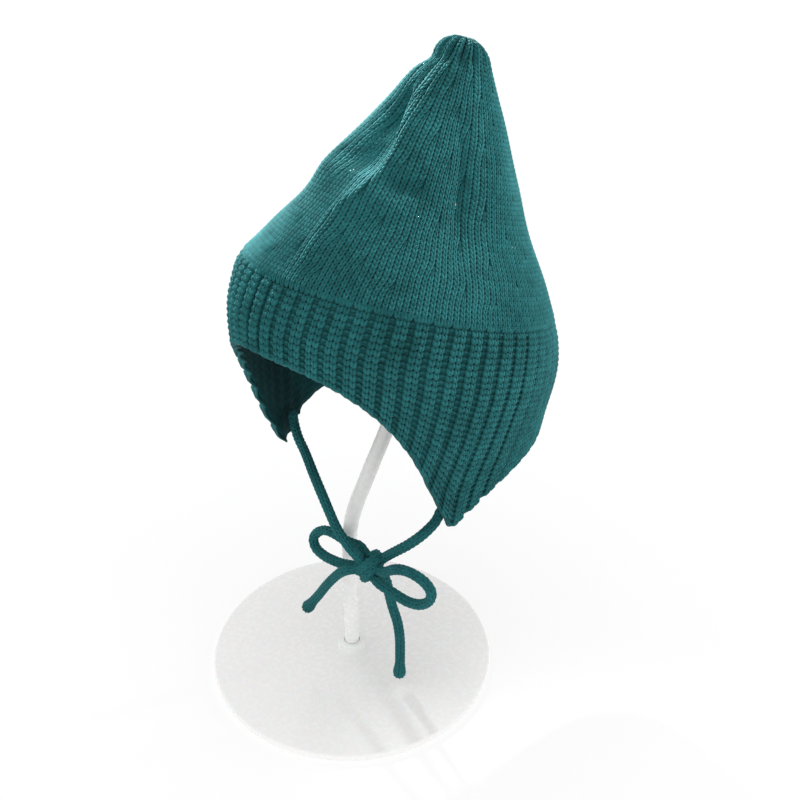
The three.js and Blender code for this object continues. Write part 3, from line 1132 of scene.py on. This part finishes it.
    def backing_skin(self) -> Skin:
        """The wall behind the stitches: down its outside and up its ribbed inside."""
        starts, breadths = self.starts()
        across = np.arange(self.backing_steps) / self.backing_steps
        angles = (starts[:, None] + breadths[:, None] * across).ravel()
        places = np.tile(across, len(starts))
        middles = np.repeat(starts + breadths / 2, self.backing_steps)
        shares = np.linspace(0.0, self.backing_end, self.backing_rows)[:, None]
        drop = self.dropped(angles[None], middles[None], shares)
        sunk = self.backing_groove * self.sunk(angles[None], places[None], drop)
        outer = self.form.band(angles[None], drop, -self.backing - sunk)
        ridge = self.inner_rib * np.cos(2 * np.pi * places)[None]
        inner = self.form.band(angles[None], drop, -self.wall - 0.5 * self.inner_rib - 0.5 * ridge)[::-1]
        ribs = np.arange(len(angles) + 1) / self.backing_steps
        rows = np.concatenate([drop.mean(1), drop.mean(1)[::-1]]) / self.row
        place = np.stack(np.broadcast_arrays(ribs[None] * 3, rows[:, None]), -1)
        # The inside keeps tone 0 and stays darker than the outside: painted shade inside the band.
        tones = np.repeat([BACKING_TONE, 0.0], [len(outer), len(inner)])
        return woven(np.concatenate([outer, inner]), place, tones, ring=True)


# The cords


class Route:
    """A smooth line through a few points, measured along itself."""

    def __init__(self, points: Sequence[Sequence[float]], step: float = 0.25 * MM) -> None:
        """Draws the line.

        Args:
            points: The points that it passes through, in millimetres.
            step: Length of its finest parts.
        """
        knots = np.array(points, float) * MM
        knots = np.concatenate([2 * knots[:1] - knots[1:2], knots, 2 * knots[-1:] - knots[-2:-1]])
        parts = []
        for index in range(1, len(knots) - 2):
            parts.append(self.span(knots[index - 1:index + 3])[:-1])
        line = np.concatenate([*parts, knots[-2:-1]])
        walk = np.concatenate([[0], np.cumsum(np.linalg.norm(np.diff(line, axis=0), axis=1))])
        self.length = float(walk[-1])
        self.walk = np.linspace(0, self.length, max(8, round(self.length / step)))
        self.line = np.stack([np.interp(self.walk, walk, line[:, axis]) for axis in range(3)], 1)
        self.along = np.gradient(self.line, axis=0)
        self.along /= np.linalg.norm(self.along, axis=1)[:, None]
        self.normal = self.carried()
        self.side = np.cross(self.along, self.normal)

    @staticmethod
    def span(four: Values, steps: int = 40) -> Values:
        """A centripetal Catmull-Rom span between the middle two of four points."""
        gaps = np.linalg.norm(np.diff(four, axis=0), axis=1) ** 0.5
        t = np.concatenate([[0], np.cumsum(gaps)])
        at = np.linspace(t[1], t[2], steps)[:, None]

        def between(low: int, high: int, start: Values, end: Values) -> Values:
            """Points that go from start at one knot to end at another."""
            return ((t[high] - at) * start + (at - t[low]) * end) / (t[high] - t[low])

        first = [between(i, i + 1, four[i], four[i + 1]) for i in range(3)]
        second = [between(i, i + 2, first[i], first[i + 1]) for i in range(2)]
        return between(1, 2, *second)

    def carried(self) -> Values:
        """A direction across the line, carried along it without twisting."""
        start = np.cross(self.along[0], (0.3, 0.5, 0.8))
        found = [start / np.linalg.norm(start)]
        for along in self.along[1:]:
            across = found[-1] - (found[-1] @ along) * along
            found.append(across / np.linalg.norm(across))
        return np.array(found)

    def at(self, distance: Values, values: Values) -> Values:
        """Values along the line, read at some distances."""
        return np.stack([np.interp(distance, self.walk, values[:, axis]) for axis in range(3)], -1)

    def round(self, distance: Values, turn: Values, radius: Values) -> Values:
        """Points round the line at a distance along it, a turn in radians and a radius."""
        past = distance - np.clip(distance, 0, self.length)
        spoke = self.at(distance, self.normal) * np.cos(turn)[..., None]
        spoke = spoke + self.at(distance, self.side) * np.sin(turn)[..., None]
        middle = self.at(distance, self.line)
        return middle + spoke * radius[..., None] + self.at(distance, self.along) * past[..., None]


@dataclass(frozen=True)
class KnitCord:
    """A round knitted cord: a core under five columns of stitches."""

    thickness: float = 4.6 * MM
    columns: int = 5
    row: float = 2.3 * MM
    sink: float = 0.55 * MM  # how far the stitches' middle lies under the outside
    core_sink: float = 0.15 * MM  # how far the core lies under that
    core_step: float = 1.2 * MM
    core_end: float = 0.4 * MM  # how far from each end the core narrows to a point
    core_sides: int = 14
    twist: float = 18.0  # radians for each metre
    start_round: float = 3 * MM
    end_round: float = 1.8 * MM
    end_swell: float = 0.32  # how much fuller a free end is, as a share
    swell_from: float = 10 * MM  # distance from the end at which it begins to swell
    swell_full: float = 3 * MM

    @staticmethod
    def rounded(away: Values, reach: float) -> Values:
        """How full a rounded end is at a distance from its tip, as a share."""
        return np.sqrt(np.clip((away + 0.2 * MM) / reach, 0.05, 1))

    def skin(self, route: Route, swell_end: bool, seed: int, round_start: bool = False) -> Skin:
        """The cord along a route.

        Args:
            route: The line that the cord follows.
            swell_end: True where the cord ends free, in a fuller rounded tip.
            seed: Sets the stitches' tones.
            round_start: True where the cord's first end is closed and rounded, at its seam.

        Returns:
            The cord's skin.
        """
        ride = self.thickness / 2 - self.sink

        def swell(distance: Values) -> Values:
            """How full the cord is at a distance along it, as a share."""
            full = np.ones_like(distance)
            if round_start:
                full = full * self.rounded(distance, self.start_round)
            if swell_end:
                left = route.length - distance
                full = full * (1 + self.end_swell * eased(-left, -self.swell_from, -self.swell_full))
                full = full * self.rounded(left, self.end_round)
            return full

        rows = max(2, int(route.length / self.row))
        high = route.length / rows
        grid = np.meshgrid(np.arange(self.columns), np.arange(rows), indexing="ij")
        column, row = (part.ravel()[:, None] for part in grid)

        def place(across: Values, along: Values, out: Values) -> Values:
            """Points across, along and out of each stitch."""
            distance = (row + along) * high
            turn = 2 * np.pi * (column + across) / self.columns + self.twist * distance
            return route.round(np.clip(distance, 0, route.length), turn, (ride + out) * swell(distance))

        wale = 2 * math.pi * ride / self.columns
        stitches = Stitch(wale, self.row, CORD_LEG).laid(place, 0.5 * spread_tones(len(row), seed))
        count = max(4, round(route.length / self.core_step))
        middle = np.linspace(self.core_end, route.length - self.core_end, count)
        line = route.at(np.concatenate([[0], middle, [route.length]]), route.line)
        radii = (ride - self.core_sink) * swell(middle)
        core = strand(line, radii, self.core_sides, route.at(middle, route.normal))
        return joined([stitches, core])


TIE_ROUTES = {
    "left_tie_run": (
        (44.6, 13, 106.5), (44.8, 8.5, 101), (44, 3, 98), (42.9, -1, 96.2), (39.2, -4, 92),
        (35.5, -5.4, 88.3), (31.6, -6.2, 84.4), (28.4, -7.5, 81.1),
    ),
    "left_tie_loop": (
        (29.9, -11.7, 77.4), (33.6, -12.5, 79.2), (38.5, -13, 83.6), (44, -13, 86.6), (50.9, -13, 87.8),
        (56.8, -12.5, 86), (59.4, -12, 82), (58.1, -12, 76.6), (53.4, -12.2, 72), (47.4, -12.5, 70),
        (41.4, -13.2, 70.6), (36.5, -14, 72), (32, -14.2, 72.6), (28.6, -13.4, 73),
    ),
    "left_tie_tail": (
        (26.1, -6.9, 70.2), (27.6, -5.3, 66.5), (28.7, -4.7, 60), (30.6, -4.4, 52), (33.3, -4, 43.8),
        (34.8, -4, 34.8), (35, -4, 25), (34.8, -4, 15.7), (34.3, -4, 9.5),
    ),
    "right_tie_run": (
        (-48.1, 13.5, 117), (-44.5, 11, 111.5), (-38.5, 7.5, 108), (-30.7, 4, 105), (-19.1, -2, 100.6),
        (-8.2, -7, 95.4), (-2.3, -9.5, 92), (3, -11.5, 88.6), (8, -12.9, 86), (14.3, -13.9, 83),
        (18.9, -13.3, 79.6),
    ),
    "right_tie_loop": (
        (17.4, -7.7, 78.1), (13.5, -6.6, 79), (8.5, -6.5, 78), (3.5, -6.6, 77.4), (-1.5, -6.8, 78),
        (-8, -6.8, 77), (-13, -7.2, 73.5), (-15.3, -8, 69), (-12.6, -9.3, 65.8), (-6, -10.2, 65),
        (-1, -10.6, 65.8), (4.5, -11, 67.2), (11, -10.9, 69.4), (16.2, -10.4, 71.6),
    ),
    "right_tie_tail": (
        (18.5, -15.4, 74.3), (15.2, -17.6, 73.2), (11.5, -17.8, 69.8), (6.8, -17.2, 63.8), (1, -16.6, 55.5),
        (-5.3, -16.2, 45.2), (-11, -16, 36.5), (-14.5, -16, 31),
    ),
}


@dataclass
class TiedCords:
    """Both ties: from the flaps' points to the bow, round its loops and down its tails."""

    yarn: bpy.types.Material
    cord: KnitCord = KnitCord()

    def build(self) -> None:
        """Makes each stretch of cord."""
        for number, (name, points) in enumerate(TIE_ROUTES.items()):
            route, free = Route(points), name.endswith("tail")
            skin = self.cord.skin(route, free, Seed.CORD + number, round_start=name.endswith("run"))
            piece = piece_of(f"knit_{name}", skin, self.yarn, name)


@dataclass
class BowKnot:
    """The bow's knot: two turns of cord wrapped round the strands that pass through it."""

    yarn: bpy.types.Material
    cord: KnitCord = KnitCord()
    centre: tuple[float, float, float] = (23, -10, 75.5)
    lean: float = 58  # degrees that the wrap climbs to the wearer's left
    reach: float = 6.9  # half size of the wrap along its climb, in millimetres
    depth: float = 5.0  # half size of the wrap from front to back
    spread: float = 4.4  # distance between its two turns
    overlap: float = 0.6  # how far a strand inside the knot runs into the cord at each end
    lead: float = 2.2  # how far it keeps that cord's direction
    passes: tuple[tuple[str, str], ...] = (
        ("left_tie_run", "right_tie_loop"),
        ("right_tie_run", "left_tie_loop"),
        ("left_tie_loop", "right_tie_tail"),
        ("right_tie_loop", "left_tie_tail"),
    )  # the cord whose last point a strand leaves, and the one whose first point it reaches

    def wrap(self) -> list[list[float]]:
        """The wrap's line: two turns side by side, with both ends tucked in behind."""
        climb = np.array([math.cos(math.radians(self.lean)), 0, math.sin(math.radians(self.lean))])
        across = np.array([climb[2], 0, -climb[0]])
        back = np.array([0.0, 1.0, 0.0])
        turns = np.linspace(-0.3, 1.8, 34)
        swing = 2 * np.pi * (turns + 0.25)
        tuck = 1 - 0.4 * (eased(-turns, -0.02, 0.3) + eased(turns, 1.5, 1.8))
        shift = self.spread * (np.clip((turns - 0.25) / 1.0, 0, 1) - 0.5)
        ring = climb * (self.reach * np.cos(swing) * tuck)[:, None]
        ring = ring + back * (self.depth * np.sin(swing) * tuck)[:, None]
        return (np.array(self.centre) + ring + across * shift[:, None]).tolist()

    def build(self) -> None:
        """Makes the wrap and the strands inside it as one piece."""
        skins = [self.cord.skin(Route(self.wrap()), False, Seed.WRAP)]
        for number, (first, second) in enumerate(self.passes):
            before, a = np.array(TIE_ROUTES[first][-2:])
            b, after = np.array(TIE_ROUTES[second][:2])
            out = (a - before) / np.linalg.norm(a - before)
            into = (after - b) / np.linalg.norm(after - b)
            middle = (a + b) / 4 + np.array(self.centre) / 2
            start = [a - self.overlap * out, a + self.lead * out]
            end = [b - self.lead * into, b + self.overlap * into]
            skins.append(self.cord.skin(Route([*start, middle, *end]), False, Seed.PASS + number))
        piece_of("knit_bow_knot", joined(skins), self.yarn, "bow_knot")


# The stand


def only(piece: bpy.types.Object) -> None:
    """Makes one object the selected and active one."""
    for other in bpy.context.selected_objects:
        other.select_set(False)
    piece.select_set(True)
    bpy.context.view_layer.objects.active = piece


def moulded(piece: bpy.types.Object, name: str, finish: bpy.types.Material, *nodes: str) -> bpy.types.Object:
    """Ends a moulded piece's modelling: outward faces, smooth shading, finish and frame.

    Args:
        piece: The modelled object.
        name: Its name.
        finish: Its material.
        nodes: The solids that it stands for.

    Returns:
        The piece.
    """
    only(piece)
    bpy.ops.object.mode_set(mode="EDIT")
    bpy.ops.mesh.select_all(action="SELECT")
    bpy.ops.mesh.remove_doubles(threshold=0.01 * MM)
    bpy.ops.mesh.normals_make_consistent(inside=False)
    bpy.ops.object.mode_set(mode="OBJECT")
    bpy.ops.object.transform_apply(location=True, rotation=True, scale=True)
    bpy.ops.object.shade_smooth_by_angle(angle=math.radians(40))
    piece.name = piece.data.name = name
    piece.data.materials.clear()
    piece.data.materials.append(finish)
    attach(piece, "root")
    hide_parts(*nodes)
    log.info("%s: %d faces", name, len(piece.data.polygons))
    return piece


@dataclass
class Stand:
    """The plain stand: a low domed base with a boss, a bent post and the hidden rest."""

    form: BonnetForm
    plastic: bpy.types.Material
    base_radius: float = 68 * MM
    base_thickness: float = 3.4 * MM
    base_dome: float = 1.4 * MM
    edge: float = 1.2 * MM
    boss_radius: float = 6 * MM
    boss_height: float = 9 * MM
    socket_floor: float = 2.6 * MM
    gap: float = 0.3 * MM
    post_radius: float = 3.5 * MM
    post_rim: float = 0.3 * MM  # how much narrower the post's two end faces are
    base_sides: int = 128
    post_sides: int = 32
    post_steps: int = 72
    rest_share: float = 0.4
    rest_rim: float = 3 * MM
    rest_dome: float = 5 * MM
    bends: tuple[tuple[float, float], ...] = (
        (0.12, 0), (0.26, 0), (0.36, 0.05), (0.435, 0.25),
        (0.53, 0.54), (0.62, 0.74), (0.73, 0.87), (0.85, 0.9),
    )  # shares of the seat's height above the floor and of its distance behind the foot

    def build(self) -> None:
        """Makes the base and the post, and finishes the rest."""
        self.build_base()
        self.build_post()
        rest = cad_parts["stand_rest"]
        rest.data.materials.clear()
        rest.data.materials.append(self.plastic)
        log.info("stand_rest: carried over")

    def base_profile(self) -> list[tuple[float, float]]:
        """The base's radius and height, from under its rim, over its dome and boss to the socket."""
        thick, edge, top = self.base_thickness, self.edge, self.base_thickness + self.base_dome
        turns = [math.radians(15 * step) for step in range(7)]
        quarter = [(math.sin(turn), math.cos(turn)) for turn in turns]
        rim, lip = self.base_radius - edge, edge / 2
        boss_rim, boss_edge = self.boss_radius - lip, self.boss_height - lip
        low = [(rim + edge * sine, edge - edge * cosine) for sine, cosine in quarter]
        high = [(rim + edge * cosine, thick - edge + edge * sine) for sine, cosine in quarter]
        dome = [(self.base_radius * share, thick + self.base_dome * (1 - share) ** 0.7)
                for share in (0.85, 0.7, 0.5, 0.35)]
        foot = [(self.boss_radius + 1.6 * edge * (1 - sine), top + 1.2 * edge * (1 - cosine))
                for sine, cosine in quarter]
        boss = [(boss_rim + lip * cosine, boss_edge + lip * sine) for sine, cosine in quarter]
        socket = self.post_radius + self.gap
        return low + high + dome + foot + boss + [(socket, self.boss_height), (socket, self.socket_floor)]

    def build_base(self) -> None:
        """Turns the base: a disc whose edge is extruded and sized along its profile."""
        profile = self.base_profile()
        radius, height = profile[0]
        bpy.ops.mesh.primitive_circle_add(vertices=self.base_sides, radius=radius, fill_type="NGON",
                                          location=(0, 0, height))
        bpy.ops.object.transform_apply(location=True, rotation=True, scale=True)
        bpy.ops.object.mode_set(mode="EDIT")
        bpy.ops.mesh.select_all(action="SELECT")
        for (old, low), (new, high) in zip(profile, profile[1:]):
            bpy.ops.mesh.extrude_region_move(TRANSFORM_OT_translate={"value": (0, 0, high - low)})
            bpy.ops.transform.resize(value=(new / old, new / old, 1), center_override=(0, 0, high))
        bpy.ops.object.mode_set(mode="OBJECT")
        base = bpy.context.active_object
        moulded(base, "moulded_base", self.plastic, "stand_base")

    def post_route(self) -> Route:
        """The post's line, from the socket's floor up and back to its seat under the rest."""
        lean = math.radians(self.form.tilt)
        seat = self.rest_share * self.form.crown_height + self.rest_dome * (1 - 0.2**2)
        seat = seat - self.rest_rim - self.gap

        def leant(up: float) -> tuple[float, float, float]:
            """A point of the bonnet's axis, in millimetres."""
            behind = up * math.sin(lean) + self.form.back
            above = up * math.cos(lean) + self.form.height
            return (0, behind / MM, above / MM)

        top, below = leant(seat), leant(seat - 4 * self.post_radius)
        foot = (0, 0, (self.socket_floor + self.gap) / MM)
        bends = [(0, top[1] * back, top[2] * rise) for rise, back in self.bends]
        return Route([foot, *bends, below, top])

    def build_post(self) -> None:
        """Makes the post: a disc extruded, moved and turned step by step along its line."""
        route = self.post_route()
        places = np.linspace(0, route.length, self.post_steps + 1)
        line, along = route.at(places, route.line), route.at(places, route.along)
        leans = np.arctan2(along[:, 1], along[:, 2])
        narrow = self.post_radius - self.post_rim
        bpy.ops.mesh.primitive_circle_add(vertices=self.post_sides, radius=narrow, fill_type="NGON",
                                          location=line[0], rotation=(-leans[0], 0, 0))
        bpy.ops.object.transform_apply(location=True, rotation=True, scale=True)
        bpy.ops.object.mode_set(mode="EDIT")
        bpy.ops.mesh.select_all(action="SELECT")
        for step in range(1, len(line)):
            move = Vector(line[step] - line[step - 1])
            bpy.ops.mesh.extrude_region_move(TRANSFORM_OT_translate={"value": move})
            bend = leans[step] - leans[step - 1]
            bpy.ops.transform.rotate(value=bend, orient_axis="X", center_override=line[step])
            if step in (1, len(line) - 1):
                size = self.post_radius / narrow
                size = size if step == 1 else 1 / size
                bpy.ops.transform.resize(value=(size, size, size), center_override=line[step])
        bpy.ops.object.mode_set(mode="OBJECT")
        post = bpy.context.active_object
        moulded(post, "moulded_post", self.plastic, "stand_post")


# The studio


@dataclass(frozen=True)
class Lamp:
    """A soft square light: where it stands, what it faces, and how wide its light spreads."""

    name: str
    place: tuple[float, float, float]
    aim: tuple[float, float, float]
    power: float
    size: float
    spread: float

    def build(self) -> None:
        """Adds the light."""
        data = bpy.data.lights.new(self.name, "AREA")
        data.energy, data.size, data.spread = self.power, self.size, math.radians(self.spread)
        lamp = bpy.data.objects.new(self.name, data)
        away = Vector(self.place) - Vector(self.aim)
        turn = away.to_track_quat("Z", "Y").to_matrix().to_4x4()
        lamp.matrix_world = Matrix.Translation(self.place) @ turn
        bpy.context.scene.collection.objects.link(lamp)


@dataclass
class Studio:
    """The camera at the photograph's angle, a pale floor and soft light."""

    eye: tuple[float, float, float] = (0.27827, -0.28392, 0.39603)
    right: tuple[float, float, float] = (0.75471, 0.65606, 0)
    up: tuple[float, float, float] = (-0.34766, 0.39994, 0.84805)
    back: tuple[float, float, float] = (0.55637, -0.64003, 0.52992)
    lens: float = 49.275
    sensor: float = 36
    floor_size: float = 8.0
    world_light: float = 1.02
    lamps: tuple[Lamp, ...] = (
        Lamp("key", place=(-1.02, 0.405, 0.895), aim=(-0.02, 0.03, 0.255), power=0.54, size=0.11, spread=12),
        Lamp("rim", place=(0.63, 1.1, 0.62), aim=(0.04, 0.07, 0.24), power=0.11, size=0.1, spread=13),
    )

    def camera(self) -> None:
        """Sets the camera in place, level with the photograph's frame."""
        data = bpy.data.cameras.new("camera")
        data.sensor_width, data.lens, data.clip_start = self.sensor, self.lens, 0.01
        camera = bpy.data.objects.new("camera", data)
        turn = Matrix((self.right, self.up, self.back)).transposed().to_4x4()
        camera.matrix_world = Matrix.Translation(self.eye) @ turn
        bpy.context.scene.collection.objects.link(camera)
        bpy.context.scene.camera = camera

    def build(self) -> None:
        """Adds the floor, the surrounding light and the lamps."""
        bpy.ops.mesh.primitive_plane_add(size=self.floor_size, location=(0, 0, -0.1 * MM))
        floor = bpy.context.active_object
        bpy.ops.object.transform_apply(location=True, rotation=True, scale=True)
        floor.name = "floor"
        floor.data.materials.append(PaleFloor().material())
        world = bpy.data.worlds.new("soft_white")
        world.use_nodes = True
        light = world.node_tree.nodes["Background"]
        light.inputs["Color"].default_value = (1, 1, 1, 1)
        light.inputs["Strength"].default_value = self.world_light
        bpy.context.scene.world = world
        for lamp in self.lamps:
            lamp.build()
        bpy.context.scene.view_settings.view_transform = "Standard"


def main() -> None:
    """Builds the bonnet, its cords and its stand in order."""
    logging.basicConfig(level=logging.INFO, format="%(name)s: %(message)s")
    for other in bpy.context.selected_objects:
        other.select_set(False)
    studio, form = Studio(), BonnetForm()
    studio.camera()
    yarn = TealYarn().material()
    # The lining's darker colours and the purl finish's darkening are painted shade inside the bonnet and
    # between the stitches.
    lining = TealYarn(name="teal_lining_painted_shade", deep=(0.002, 0.024, 0.027), bright=(0.014, 0.14, 0.145),
                      sheen=0.03, speckle=0.12, purl=True).material()
    plastic = WhitePlastic().material()
    TiedCords(yarn).build()
    BowKnot(yarn).build()
    Crown(form, yarn, lining).build()
    RibBand(form, yarn, lining).build()
    Stand(form, plastic).build()
    studio.build()


if __name__ == "__main__":
    main()
